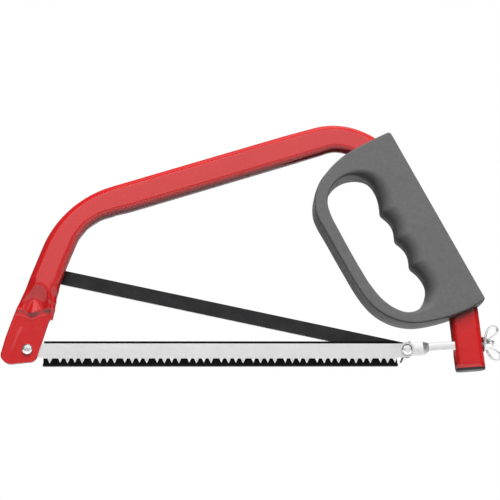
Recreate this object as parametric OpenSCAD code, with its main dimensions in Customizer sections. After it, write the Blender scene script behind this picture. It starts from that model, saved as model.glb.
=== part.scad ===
// Bow saw: a bent flat-oval tube, a two-shell D handle, a 304 mm wood blade held by a draw
// bolt and a wing nut, and a metal blade kept behind it on the same rear screw.
// X runs from the toe to the handle, Z is up with the blade at the bottom, Y is the thickness.
// The saw is drawn with its front blade screw at zero, and home() moves it to its own middle.

/* [Frame tube] */
// Width of the flat-oval tube in the plane of the saw
tube_w = 24.6; // [22:0.2:27]
// Thickness of the flat-oval tube
tube_t = 11.4; // [10:0.2:12]
// Wall of the tube
tube_wall = 1.2; // [0.9:0.1:1.6]
// Length of the front leg, from the front screw's level to the front corner
leg_len = 121.7; // [110:0.5:130]
// Length of the top bar between its corners
bar_len = 252.6; // [240:0.5:260]
// Length of the part inside the handle, between its corners
grip_len = 172; // [168:0.5:176]
// Length of the foot below the handle's corner
foot_len = 52.5; // [48:0.5:60]
// Lean of the front leg from upright
leg_lean = 20.2; // [18:0.2:23]
// Rise of the top bar towards the handle
bar_rise = 17.65; // [16:0.05:19]
// Lean of the grip from upright
grip_lean = 26.6; // [26:0.1:27.2]
// Lean of the foot and tilt of the draw bolt
foot_lean = 4; // [3:0.5:5]
// Middle radius of the front bend
front_bend_r = 74; // [60:1:84]
// Middle radius of the rear bend
rear_bend_r = 48; // [44:1:54]
// Middle radius of the slight bend above the foot
foot_bend_r = 36; // [30:1:42]

/* [Wood blade] */
// Distance between the blade's two screws
pin_pitch = 304; // [302:1:306]
// Thickness of the blade
blade_t = 0.65; // [0.5:0.05:0.8]
// Height of the blade's back above the screws
blade_back = 5; // [4:0.2:6]
// Depth of the gullet line below the screws
gullet_line = 7.1; // [6.5:0.1:8]
// Height of a tooth below the gullet line
tooth_h = 3.7; // [3:0.1:4.5]
// Length of one group of four teeth
tooth_group = 25.6; // [24:0.1:28]

/* [Metal blade] */
// Distance between the metal blade's holes
metal_pitch = 300; // [298:1:300]
// Width of the metal blade
metal_w = 12.2; // [10:0.1:12.7]
// Angle at which the stored metal blade rises towards the toe
metal_rise = 12.4; // [11:0.1:14]

/* [Guard] */
// Wall of the plastic blade guard
guard_wall = 1; // [0.8:0.1:1.2]
// Lowest level of the guard below the screws
guard_low = 13.6; // [13:0.1:15]
// Top level of the guard's rear wall above the screws
guard_high = 7.1; // [6:0.1:8]

/* [Handle] */
// Thickness of the handle
handle_t = 24; // [22:0.5:26]
// Width of the loop's bar
loop_w = 8.6; // [8:0.2:10]
// Plastic behind the tube, to the back of the hand
back_wall = 2.9; // [2.5:0.1:3.5]
// Plastic in front of the tube, to the bottom of the finger grooves
front_wall = 7.3; // [7:0.1:8]
// Depth of the finger grooves
groove_depth = 3; // [2:0.1:3.5]

/* [Draw bolt and screws] */
// Side of the square shank
shank = 7; // [6:0.5:7.5]
// Thickness of the forged tongue
tongue_t = 3; // [2.5:0.1:3.2]
// Height of the tongue
tongue_h = 11.5; // [10:0.5:12]
// Travel of the draw bolt from slack to taut
draw_travel = 2; // [1:0.5:2]
// Radius of the rear screw's shank
rear_screw_r = 2; // [1.9:0.05:2.2]
// Radius of the front screw's shank
front_screw_r = 2.5; // [2.3:0.1:2.6]
// Radius of the draw bolt's thread
thread_r = 3; // [2.8:0.1:3]

/* [Hidden] */
$fn = 64;
eps = 0.02;
lap = 0.4;
seam = 0.14;

// Middle of the saw, measured from the front screw
middle = [179.5, 87.2];

// Headings of the tube's four runs, as angles from +X towards +Z
leg_a = 90 - leg_lean;
bar_a = bar_rise;
grip_a = grip_lean - 90;
foot_a = foot_lean - 90;

// Corners of the tube's middle line, as [x, z]
leg_foot = [-8.7, 0];
corner_1 = leg_foot + leg_len * heading(leg_a);
corner_2 = corner_1 + bar_len * heading(bar_a);
corner_3 = corner_2 + grip_len * heading(grip_a);
bend_1 = front_bend_r * tan((leg_a - bar_a) / 2);
bend_2 = rear_bend_r * tan((bar_a - grip_a) / 2);
bend_3 = foot_bend_r * tan((grip_a - foot_a) / 2);

// The crimp runs from this station along the leg down to a level line across the toe
crimp_top = 49;
crimp_low = [2.35, 25];
toe_gap = 0.75;
toe_t = 2 * tube_wall + toe_gap;
toe_w = 30.5;

// The draw bolt's local x starts at the rear screw and runs through the foot
tongue_y = blade_t / 2 + 0.08;
shoulder_x = 13.5;
shank_x = 17.3;
foot_x = 49.6;
thread_x = foot_x - 4;
bolt_end = 71.5;
wall_x = foot_x + tube_w / 2;
washer_t = 1.2;

// The stack on the rear screw, from the tongue backwards
metal_y = tongue_y + tongue_t + 0.12;
metal_t = 0.65;
metal_skew = 0.8;
rear_washer_y = metal_y + metal_t + 0.12;
rear_washer_t = 1;
blade_nut_y = rear_washer_y + rear_washer_t + 0.03;

// The handle's back line and the finger grooves are measured square to the grip
back_corner = [296.1, 181.5];
grip_dir = heading(grip_a);
grip_side = heading(grip_a + 90);
tube_line = back_wall + tube_w / 2;
groove_line = back_wall + tube_w + front_wall;
groove_r = 17;
groove_at = [69.4, 94.9];
back_grow = 0.95;
loop_low = [308, 64.3];
loop_low_r = 44.7;
hole_top = [264.3, 122.8];
hole_top_r = 22.3;
hole_low = [306.5, 44.2];
hole_low_r = 15.2;
corner_r = 3;

// The outer line of the loop, from the top edge round to the base
loop_line = [[284.9, 178.6], [270.6, 170.9], [256.9, 162.7], [250.6, 157.3], [241.5, 147.6],
    [235.6, 140.4], [232.2, 132.8], [230.5, 122.6], [231.3, 113.4], [234.1, 105.6],
    [240.9, 92.6], [248.2, 78.4], [255.8, 64], [263.6, 49.6], [269.2, 40.9], [276, 32.9],
    [280.8, 28.6], [286.3, 25.1], [292.2, 22.3], [298.4, 20.4], [304.5, 19.3], [310.8, 19.1],
    [319.3, 20.1], [327.6, 21.8], [335.7, 23.9], [343.8, 26.7], [351.4, 29.8], [358.2, 33.1]];
nose_r = 12.6;

// Places of the handle's screws: four round the loop and base, one through the tube
loop_screws = [[245.8, 146], [251, 86], [280, 35.6], [328.5, 31.4]];
grip_screw_at = back_corner + 86 * grip_dir - tube_line * grip_side;
handle_screw_r = 1.5;
counterbore_r = 3.6;
counterbore_y = 6;

function heading(a) = [cos(a), sin(a)];
function arc(c, r, from, to, n = 10) =
    [for (i = [0:n]) c + r * heading(from + (to - from) * i / n)];

module home() {
    translate([-middle.x, 0, -middle.y]) children();
}

// Turns a 2D shape drawn in x and z into a plate from y = low to y = high
module plate(low, high) {
    translate([0, high, 0]) rotate([90, 0, 0]) linear_extrude(high - low) children();
}

// A round bar along +Y at [x, z]
module rod(at, r, low, high) {
    translate([at.x, high, at.y]) rotate([90, 0, 0]) cylinder(r = r, h = high - low);
}

module oval(w, t) {
    square([w - t, t], center = true);
    for (side = [-1, 1]) translate([side * (w - t) / 2, 0]) circle(d = t);
}

// A straight length of tube, a little longer at each end so that it runs into its bends
module run(from, a, length, w, t) {
    start = from - lap * heading(a);
    translate([start.x, 0, start.y]) rotate([0, 90 - a, 0])
        linear_extrude(length + 2 * lap) oval(w, t);
}

// One bend between headings a1 and a2 at a corner, turning downwards; it swells by the seam
// so that its surface stays clear of the straight ends inside it
module bend(corner, a1, a2, r, w, t) {
    c = corner - r * tan((a1 - a2) / 2) * heading(a1) + r * heading(a1 - 90);
    translate([c.x, 0, c.y]) rotate([90, 0, 0]) rotate([0, 0, a2 + 90])
        rotate_extrude(angle = a1 - a2) translate([r, 0]) oval(w + 2 * seam, t + 2 * seam);
}

// The whole run of tube above the crimp, as a solid of the given section
module tube_solid(w, t, extra = 0) {
    run(leg_foot + crimp_top * heading(leg_a), leg_a, leg_len - crimp_top - bend_1, w, t);
    bend(corner_1, leg_a, bar_a, front_bend_r, w, t);
    run(corner_1 + bend_1 * heading(bar_a), bar_a, bar_len - bend_1 - bend_2, w, t);
    bend(corner_2, bar_a, grip_a, rear_bend_r, w, t);
    run(corner_2 + bend_2 * heading(grip_a), grip_a, grip_len - bend_2 - bend_3, w, t);
    bend(corner_3, grip_a, foot_a, foot_bend_r, w, t);
    run(corner_3 + bend_3 * heading(foot_a), foot_a, foot_len - bend_3 - lap + extra, w, t);
}

// The flattened transition between the round-sided leg and the toe; it starts just inside
// the end of the leg's straight run
module crimp(w, t, flat_w, flat_t) {
    at_top = leg_foot + (crimp_top - lap) * heading(leg_a);
    inset = 0.16;
    hull() {
        translate([at_top.x, 0, at_top.y]) rotate([0, leg_lean, 0])
            linear_extrude(eps) for (side = [-1, 1]) {
                translate([side * (w - t) / 2, 0]) circle(d = t - 2 * inset, $fn = 32);
            }
        translate([crimp_low.x, 0, crimp_low.y]) cube([flat_w, flat_t, eps], center = true);
    }
}

module toe_outline() {
    polygon(concat(
        arc([-12.6, -3.4], 8.6, 164, 275),
        arc([1.9, -4.2], 6.2, 275, 342),
        [[crimp_low.x + toe_w / 2, crimp_low.y + 0.3],
         [crimp_low.x - toe_w / 2, crimp_low.y + 0.3]]));
}

// The square and round holes that the draw bolt passes through in the foot
module draw_holes() {
    draw_frame() {
        translate([foot_x - tube_w, -shank / 2 - 0.35, -shank / 2 - 0.35])
            cube([tube_w, shank + 0.7, shank + 0.7]);
        rotate([0, 90, 0]) cylinder(r = thread_r + 0.4, h = wall_x + 5);
    }
}

// Moves to the rear screw and tilts with the draw bolt
module draw_frame() {
    translate([pin_pitch, 0, 0]) rotate([0, -foot_lean, 0]) children();
}

// The bent tube with its crimped and slotted toe
module frame_tube() {
    color("crimson") home() difference() {
        union() {
            tube_solid(tube_w, tube_t);
            crimp(tube_w, tube_t, toe_w, toe_t);
            plate(-toe_t / 2, toe_t / 2) toe_outline();
        }
        tube_solid(tube_w - 2 * tube_wall, tube_t - 2 * tube_wall, 1);
        crimp(tube_w - 2 * tube_wall, tube_t - 2 * tube_wall, toe_w - 5, toe_gap);
        plate(-toe_gap / 2, toe_gap / 2) translate([3, 0]) toe_outline();
        rod([0, 0], front_screw_r + 0.1, -tube_t, tube_t);
        rod(grip_screw_at, handle_screw_r + 0.5, -tube_t, tube_t);
        draw_holes();
    }
}

// The plastic plug that closes the foot
module tube_end_plug() {
    flange = 1.6;
    spigot = 9;
    lip_gap = 0.1;
    end = corner_3 + foot_len * heading(foot_a);
    color("#202022") home() {
        run(end + lap * heading(foot_a), foot_a, flange, tube_w - 0.4, tube_t - 0.4);
        run(end - spigot * heading(foot_a), foot_a, spigot,
            tube_w - 2 * tube_wall - 2 * lip_gap, tube_t - 2 * tube_wall - 2 * lip_gap);
    }
}

// Outer outline of the handle, from the top corner round the loop to the back
module handle_outline() {
    back = corner_r - back_grow;
    polygon(concat(
        arc(back_corner - back * grip_side + 0.6 * grip_dir, corner_r, 26.6, 118),
        loop_line,
        arc(back_corner - back * grip_side + 157.2 * grip_dir, corner_r, -58, 26.6)));
}

// The hand hole at mid thickness, with its finger grooves
module hole_outline() {
    ridge = groove_line + groove_depth;
    left = hole_top + hole_top_r * heading(207.9);
    left_low = loop_low + (loop_low_r - loop_w) * heading(207.9);
    polygon(concat([left, left_low],
        arc(loop_low, loop_low_r - loop_w, 212, 262, 8),
        [back_corner + 124 * grip_dir - ridge * grip_side,
         back_corner + 50 * grip_dir - ridge * grip_side, hole_top]));
    translate(hole_top) circle(hole_top_r);
    translate(hole_low) circle(hole_low_r);
    for (s = groove_at) translate(groove_centre(s)) circle(groove_r);
}

function groove_centre(s) = back_corner + s * grip_dir - (groove_line + groove_r) * grip_side;

// A spool that flares out towards the handle's faces and so leaves a rounded edge
module spool(c, r) {
    reach = handle_t / 2 + 1;
    translate([c.x, 0, c.y]) rotate([90, 0, 0]) rotate_extrude() difference() {
        translate([0, -reach]) square([r + nose_r, 2 * reach]);
        translate([r + nose_r, 0]) circle(nose_r);
    }
}

// The rounding of the grip's finger side, kept off the loop
module finger_rounding() {
    reach = handle_t / 2 + 1;
    ridge = groove_line + groove_depth;
    intersection() {
        union() {
            spool(hole_top, hole_top_r);
            spool(hole_low, hole_low_r);
            for (s = groove_at) spool(groove_centre(s), groove_r);
            grip_frame() translate([-ridge, 0, 46]) linear_extrude(82) difference() {
                translate([-nose_r, -reach]) square([2 * nose_r, 2 * reach]);
                translate([nose_r, 0]) circle(nose_r);
            }
        }
        grip_frame() translate([-62, -reach - 1, 0]) cube([62, 2 * reach + 2, 150]);
    }
}

// Local frame at the handle's back corner: +Z down the grip, -X towards the fingers
module grip_frame() {
    translate([back_corner.x, 0, back_corner.y]) rotate([0, 90 - grip_a, 0])
        mirror([1, 0, 0]) children();
}

module handle_body(low, high) {
    difference() {
        plate(low, high) difference() {
            handle_outline();
            hole_outline();
        }
        finger_rounding();
        tube_solid(tube_w + 0.2, tube_t + 0.2, 20);
    }
}

// The shell on the viewer's side, with blind holes for the screws
module handle_front_shell() {
    grip_low = -handle_t / 2 + 2.5;
    color("dimgray") home() difference() {
        handle_body(-handle_t / 2, 0);
        for (at = loop_screws) rod(at, handle_screw_r, -8, 1);
        rod(grip_screw_at, handle_screw_r, grip_low, 1);
    }
}

// The shell behind, with counterbored screw holes
module handle_rear_shell() {
    color("dimgray") home() difference() {
        handle_body(0, handle_t / 2);
        for (at = concat(loop_screws, [grip_screw_at])) {
            rod(at, handle_screw_r + 0.2, -1, handle_t);
            rod(at, counterbore_r, screw_seat(at), handle_t);
        }
    }
}

// The grip screw sits higher, because the tube lies under it
function screw_seat(at) = at == grip_screw_at ? 8.2 : counterbore_y;

// A pan-head tapping screw with its head on the rear shell's seat
module handle_screw(at, tip) {
    head_h = 2.2;
    head_r = 3.2;
    seat = screw_seat(at);
    recess = 1.4;
    color("silver") home() difference() {
        union() {
            rod(at, handle_screw_r, tip, seat + eps);
            rod(at, head_r, seat, seat + head_h);
        }
        for (turn = [0, 90]) translate([at.x, seat + head_h, at.y]) rotate([0, turn, 0])
            cube([3.2, 2 * recess, 0.8], center = true);
    }
}

// A pan-head machine screw with a cross recess; the head faces -Y
module machine_screw(at, shaft_r, head_r, head_h, under, tip) {
    recess = 1.2;
    difference() {
        union() {
            rod(at, head_r, under - head_h, under);
            rod(at, shaft_r, under - eps, tip);
        }
        for (turn = [20, 110]) translate([at.x, under - head_h, at.y]) rotate([0, turn, 0])
            cube([0.6 * 2 * head_r, 2 * recess, 0.8], center = true);
    }
}

module ring(at, outer, inner, low, high) {
    difference() {
        rod(at, outer, low, high);
        rod(at, inner, low - 1, high + 1);
    }
}

module front_blade_screw() {
    color("gainsboro") home()
        machine_screw([0, 0], front_screw_r, 4.3, 2.4, -toe_t / 2, toe_t / 2 + 6.8);
}

module front_lock_washer() {
    color("silver") home()
        ring([0, 0], 4.6, front_screw_r + 0.1, toe_t / 2, toe_t / 2 + 1.1);
}

module front_nut() {
    low = toe_t / 2 + 1.1;
    color("silver") home() difference() {
        translate([0, low + 4.2, 0]) rotate([90, 0, 0]) cylinder(r = 4.6, h = 4.2, $fn = 6);
        rod([0, 0], front_screw_r, low - 1, low + 6);
    }
}

// Edge of the wood blade: groups of four teeth, with a wide gullet between groups
module tooth_row() {
    first = 0.5;
    count = 12;
    half_base = 2.1;
    half_tip = 0.25;
    for (g = [0:count - 1], offset = [0, 5.8, 11.6, 17.4]) {
        x = first + g * tooth_group + offset;
        if (x > 15 && x < pin_pitch - 9) polygon([
            [x - half_base, -gullet_line + eps], [x - half_tip, -gullet_line - tooth_h],
            [x + half_tip, -gullet_line - tooth_h], [x + half_base, -gullet_line + eps]]);
    }
}

// The strip with round eyes; the rear eye is slotted so the draw bolt can move in it
module wood_blade() {
    eye_r = 6.35;
    body = 12;
    color("lightgray") home() plate(-blade_t / 2, blade_t / 2) difference() {
        union() {
            for (x = [0, pin_pitch]) translate([x, 0]) circle(eye_r);
            translate([0, -eye_r]) square([pin_pitch, eye_r + blade_back]);
            translate([body, -gullet_line]) square([pin_pitch - 2 * body + 4, gullet_line]);
            tooth_row();
        }
        circle(front_screw_r + 0.1);
        for (x = [0, draw_travel]) translate([pin_pitch - x, 0]) circle(rear_screw_r + 0.3);
        translate([pin_pitch - draw_travel, -rear_screw_r - 0.3])
            square([draw_travel, 2 * rear_screw_r + 0.6]);
    }
}

// A J-shaped strip: tall wall behind the blade, web under the teeth, short lip in front
module blade_guard() {
    left = 12.7;
    right = pin_pitch - 8.2;
    wall_y = 0.9;
    lip_y = -2.5;
    lip_h = 2;
    color("#18181a") home() {
        translate([left, wall_y, -guard_low]) cube([right - left, guard_wall, guard_low + guard_high]);
        translate([left, lip_y, -guard_low]) cube([right - left, wall_y - lip_y + eps, guard_wall]);
        translate([left, lip_y, -guard_low]) cube([right - left, guard_wall, lip_h]);
    }
}

// The stored blade leans slightly back so that its far end clears the tube
module metal_blade() {
    end_r = metal_w / 2;
    color("#2a2a2c") home() difference() {
        translate([pin_pitch, metal_y, 0]) rotate([0, metal_rise, 0]) rotate([0, 0, -metal_skew])
            plate(0, metal_t) {
                for (x = [0, -metal_pitch]) translate([x, 0]) circle(end_r);
                translate([-metal_pitch, -end_r]) square([metal_pitch, metal_w]);
            }
        rod([pin_pitch, 0], rear_screw_r + 0.1, -5, 20);
        rod([pin_pitch - metal_pitch * cos(metal_rise), metal_pitch * sin(metal_rise)],
            rear_screw_r, -5, 20);
    }
}

// Forged tongue, sloping shoulder, square shank and threaded end
module draw_bolt() {
    half = shank / 2;
    back = tongue_y + tongue_t;
    color("whitesmoke") home() draw_frame() difference() {
        union() {
            plate(tongue_y, back) {
                circle(tongue_h / 2);
                translate([0, -tongue_h / 2]) square([shoulder_x, tongue_h]);
            }
            intersection() {
                translate([0, 0, -tongue_h / 2]) linear_extrude(tongue_h) polygon([
                    [shoulder_x - eps, tongue_y], [shank_x, -half], [thread_x, -half],
                    [thread_x, half], [shank_x, half], [shoulder_x - eps, back]]);
                plate(-half, half) polygon([
                    [shoulder_x - eps, -tongue_h / 2], [shank_x, -half], [thread_x, -half],
                    [thread_x, half], [shank_x, half], [shoulder_x - eps, tongue_h / 2]]);
            }
            rotate([0, 90, 0]) translate([0, 0, thread_x - eps])
                cylinder(r = thread_r, h = bolt_end - thread_x);
        }
        rod([0, 0], rear_screw_r, -2, 10);
    }
}

module rear_blade_screw() {
    under = -blade_t / 2 - 0.03;
    color("gainsboro") home()
        machine_screw([pin_pitch, 0], rear_screw_r, 4.5, 2.4, under, blade_nut_y + 6.2);
}

module rear_washer() {
    color("silver") home() ring([pin_pitch, 0], 5, rear_screw_r + 0.1,
        rear_washer_y, rear_washer_y + rear_washer_t);
}

// A wing nut along +Y from y = 0: hub, two swept loops, and the bore
module wing_nut(bore_r, hub_r, hub_h, span, height, wing_t) {
    tip_r = height * 0.33;
    difference() {
        union() {
            rod([0, 0], hub_r, 0, hub_h);
            for (side = [0, 180]) rotate([0, side, 0])
                translate([0, 0, -wing_t / 2]) linear_extrude(wing_t) difference() {
                    union() {
                        translate([span / 2 - tip_r, height - tip_r]) circle(tip_r);
                        polygon([[hub_r * 0.6, 0.8], [hub_r * 0.6, hub_h],
                                 [span / 2 - 1.5 * tip_r, height - 0.2 * tip_r],
                                 [span / 2 - 0.3 * tip_r, height - 1.9 * tip_r]]);
                    }
                    translate([span / 2 - tip_r, height - tip_r]) circle(tip_r - 1.3);
                }
        }
        rod([0, 0], bore_r, -1, hub_h + 1);
    }
}

module blade_wing_nut() {
    wing_turn = 65;
    color("slategray") home() translate([pin_pitch, blade_nut_y, 0]) rotate([0, -wing_turn, 0])
        wing_nut(rear_screw_r + 0.05, 3.6, 4.2, 20, 6.6, 1.5);
}

module tension_washer() {
    color("silver") home() draw_frame() rotate([0, 0, -90])
        ring([0, 0], 6.2, thread_r + 0.35, wall_x, wall_x + washer_t);
}

module tension_wing_nut() {
    color("gainsboro") home() draw_frame() translate([wall_x + washer_t + 0.05, 0, 0])
        rotate([0, 0, -90]) rotate([0, 90, 0])
            wing_nut(thread_r + 0.05, 4.8, 6, 30.6, 13.6, 1.9);
}

frame_tube();
tube_end_plug();
handle_front_shell();
handle_rear_shell();
handle_screw(loop_screws[0], -6);  // handle_screw_1
handle_screw(loop_screws[1], -6);  // handle_screw_2
handle_screw(loop_screws[2], -6);  // handle_screw_3
handle_screw(loop_screws[3], -6);  // handle_screw_4
handle_screw(grip_screw_at, -9);  // grip_screw
front_blade_screw();
front_lock_washer();
front_nut();
wood_blade();
blade_guard();
metal_blade();
draw_bolt();
rear_blade_screw();
rear_washer();
blade_wing_nut();
tension_washer();
tension_wing_nut();
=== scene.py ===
import math

import bmesh
import bpy
from mathutils import Matrix, Vector


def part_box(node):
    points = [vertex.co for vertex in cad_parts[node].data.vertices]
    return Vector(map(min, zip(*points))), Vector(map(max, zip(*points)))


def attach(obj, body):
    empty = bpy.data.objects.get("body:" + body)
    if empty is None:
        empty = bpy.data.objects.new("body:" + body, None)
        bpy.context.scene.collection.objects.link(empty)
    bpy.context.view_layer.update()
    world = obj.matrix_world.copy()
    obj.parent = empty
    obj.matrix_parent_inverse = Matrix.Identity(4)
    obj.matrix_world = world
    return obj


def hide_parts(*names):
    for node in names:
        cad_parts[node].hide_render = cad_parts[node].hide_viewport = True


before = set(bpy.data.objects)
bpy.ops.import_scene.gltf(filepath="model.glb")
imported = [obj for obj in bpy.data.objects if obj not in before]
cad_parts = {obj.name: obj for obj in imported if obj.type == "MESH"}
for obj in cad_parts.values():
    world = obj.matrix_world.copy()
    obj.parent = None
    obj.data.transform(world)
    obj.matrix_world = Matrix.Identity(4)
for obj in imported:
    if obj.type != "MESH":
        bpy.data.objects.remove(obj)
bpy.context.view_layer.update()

# ----------------------------------------
# The saw's own frame. Lengths are millimetres from the front blade screw: x towards the
# handle, y away from the viewer, z up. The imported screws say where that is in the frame.
# ----------------------------------------
MM = 0.001


def middle_of(node_name):
    low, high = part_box(node_name)
    return (low + high) / 2


front_screw = middle_of("front_blade_screw")
rear_screw = middle_of("rear_blade_screw")
PIN_PITCH = (rear_screw.x - front_screw.x) / MM
saw_frame = Matrix.Translation((front_screw.x, 0, front_screw.z)) @ Matrix.Scale(MM, 4)


def heading(degrees):
    """Unit vector in the saw's plane, as (x, z), turned from +x towards +z."""
    return Vector((math.cos(math.radians(degrees)), math.sin(math.radians(degrees))))


# Camera: a long lens a little below and to the left of the saw
camera_data = bpy.data.cameras.new("camera")
camera_data.sensor_width, camera_data.lens, camera_data.clip_end = 36, 95.76, 20
camera = bpy.data.objects.new("camera", camera_data)
bpy.context.scene.collection.objects.link(camera)
camera_place = saw_frame @ Vector((123.21, -1045.96, -217.15))
camera_aim = saw_frame @ Vector((178.03, 0, 83.19))
camera_turn = (camera_aim - camera_place).to_track_quat("-Z", "Y").to_matrix().to_4x4()
camera_roll = Matrix.Rotation(math.radians(-0.611), 4, "Z")
camera.matrix_world = Matrix.Translation(camera_place) @ camera_turn @ camera_roll
bpy.context.scene.camera = camera

# ----------------------------------------
# Studio: a white sweep behind everything, a pale floor well below the saw, four soft panels
# and two soft suns. The front and low panels are seen only as reflections in the enamel and
# the steel; the suns add only matt light.
# ----------------------------------------
world = bpy.data.worlds.new("studio_sweep")
bpy.context.scene.world = world
world.use_nodes = True
bpy.context.scene.view_settings.view_transform = "Standard"


def put(tree, kind, inputs=None, **settings):
    """Adds one shader node; an input is a plain value or another node's output."""
    made = tree.nodes.new(kind)
    for name, value in settings.items():
        setattr(made, name, value)
    for name, value in (inputs or {}).items():
        if isinstance(value, bpy.types.NodeSocket):
            tree.links.new(value, made.inputs[name])
        else:
            made.inputs[name].default_value = value
    return made


sweep = world.node_tree
sweep.nodes.clear()
seen = put(sweep, "ShaderNodeBackground", {"Color": (1, 1, 1, 1), "Strength": 1.0})
direction = put(sweep, "ShaderNodeTexCoord")
axes = put(sweep, "ShaderNodeSeparateXYZ", {"Vector": direction.outputs["Generated"]})
glow = put(sweep, "ShaderNodeMapRange", {"Value": axes.outputs["Z"], "From Min": -1.0,
                                         "From Max": 1.0, "To Min": 0.02, "To Max": 0.16})
lit = put(sweep, "ShaderNodeBackground", {"Color": (1, 1, 1, 1),
                                          "Strength": glow.outputs["Result"]})
path = put(sweep, "ShaderNodeLightPath")
which = put(sweep, "ShaderNodeMixShader", {0: path.outputs["Is Camera Ray"],
                                           1: lit.outputs[0], 2: seen.outputs[0]})
put(sweep, "ShaderNodeOutputWorld", {"Surface": which.outputs[0]})


def soft_light(kind, name, place, aim, power, in_gloss=True, in_matt=True):
    """A lamp turned to its aim; it can be left out of reflections or of matt light."""
    data = bpy.data.lights.new(name, kind)
    data.energy = power
    lamp = bpy.data.objects.new(name, data)
    bpy.context.scene.collection.objects.link(lamp)
    lamp.visible_glossy, lamp.visible_diffuse = in_gloss, in_matt
    lamp.location = place
    lamp.rotation_euler = (Vector(aim) - Vector(place)).to_track_quat("-Z", "Y").to_euler()
    return data


def soft_panel(name, place, aim, width, height, watts, in_matt=True):
    """A large rectangular soft box."""
    data = soft_light("AREA", name, place, aim, watts, in_matt=in_matt)
    data.shape = "RECTANGLE"
    data.size, data.size_y = width, height


soft_panel("front_panel", (0.15, -1.7, 0.92), (0, 0.3, 0.3), 2.2, 1.05, 10, in_matt=False)
soft_panel("low_panel", (0.15, -1.75, 0.0), (0, 0, 0), 2.6, 0.7, 1.5, in_matt=False)
soft_panel("top_panel", (0.2, -0.2, 1.6), (0, 0, 0), 1.6, 1.0, 4)
soft_panel("back_panel", (0.2, 1.7, 0.8), (0, 0, 0), 1.8, 1.0, 8)
for name, place, power in (("daylight", (0.3, -1.5, 1.8), 5.7),
                           ("far_daylight", (0.8, 1.5, 1.0), 2.4)):
    sun = soft_light("SUN", name, place, (0, 0, 0), power, in_gloss=False)
    sun.angle = math.radians(50)


def finish_of(name, constants):
    """A new material with its node tree and shader, and what is the same all over it."""
    material = bpy.data.materials.new(name)
    material.use_nodes = True
    shader = material.node_tree.nodes["Principled BSDF"]
    for label, value in constants.items():
        shader.inputs[label].default_value = value
    return material, material.node_tree, shader


FLOOR_REACH, FLOOR_LEVEL = 40, -0.42
floor_mesh = bpy.data.meshes.new("studio_floor")
floor_mesh.from_pydata([(x * FLOOR_REACH, y * FLOOR_REACH, FLOOR_LEVEL)
                        for x, y in ((-1, -1), (1, -1), (1, 1), (-1, 1))], [], [(0, 1, 2, 3)])
floor = bpy.data.objects.new("studio_floor", floor_mesh)
bpy.context.scene.collection.objects.link(floor)
floor_paint = finish_of("floor_paint", {"Base Color": (0.62, 0.62, 0.62, 1), "Roughness": 0.9})[0]
floor_mesh.materials.append(floor_paint)
floor.visible_diffuse = False

# ----------------------------------------
# Frame tube: one length of welded steel tube, rolled to a flat oval, bent three times and
# pressed flat at the toe, where its right-hand fold is cut away so that the blade can
# enter. It is finished in gloss red enamel.
# ----------------------------------------
TUBE_HALF_W = 12.3
TUBE_HALF_T = 5.7
TUBE_WALL = 1.2
TOE_HALF_T = 1.575
LEG_FOOT = Vector((-8.7, 0))
LEG_A, BAR_A, GRIP_A, FOOT_A = 69.8, 17.65, -63.4, -86.0
RUN_LENGTHS = (121.7, 252.6, 172.0, 52.5)
BEND_RADII = (74.0, 48.0, 36.0)
leg_dir = heading(LEG_A)
leg_side = heading(LEG_A - 90)


def centre_line(step=5.0, bend_step=3.0):
    """Stations (distance, point, heading) along the bent tube, in plain runs and arcs."""
    angles = (LEG_A, BAR_A, GRIP_A, FOOT_A)
    place, travelled, stations = LEG_FOOT.copy(), 0.0, []
    taken = 0.0
    for i, length in enumerate(RUN_LENGTHS):
        ahead = 0.0
        if i < 3:
            ahead = BEND_RADII[i] * math.tan(math.radians((angles[i] - angles[i + 1]) / 2))
        straight = length - taken - ahead
        count = max(2, round(straight / step))
        for k in range(count + (i == 3)):
            along = straight * k / count
            stations.append((travelled + along, place + heading(angles[i]) * along, angles[i]))
        place = place + heading(angles[i]) * straight
        travelled += straight
        if i < 3:
            swing = angles[i] - angles[i + 1]
            radius = BEND_RADII[i]
            hub = place + heading(angles[i] - 90) * radius
            count = max(4, round(swing / bend_step))
            for k in range(count):
                turned = angles[i] - swing * k / count
                stations.append((travelled + math.radians(swing) * radius * k / count,
                                 hub + heading(turned + 90) * radius, turned))
            place = hub + heading(angles[i + 1] + 90) * radius
            travelled += math.radians(swing) * radius
            taken = ahead
    return stations


def arc(centre, radius, start, end, count):
    return [Vector(centre) + heading(start + (end - start) * i / count) * radius
            for i in range(count + 1)]


def eased(t):
    t = min(1.0, max(0.0, t))
    return t * t * (3 - 2 * t)


def soft_max(a, b, k):
    return 0.5 * (a + b + math.sqrt((a - b) ** 2 + k * k))


def through(table, x):
    """Smoothly follows a few (x, value) pairs, level beyond both ends."""
    x = max(x, table[0][0])
    for (x0, v0), (x1, v1) in zip(table, table[1:]):
        if x <= x1:
            return v0 + (v1 - v0) * eased((x - x0) / (x1 - x0))
    return table[-1][1]


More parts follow.
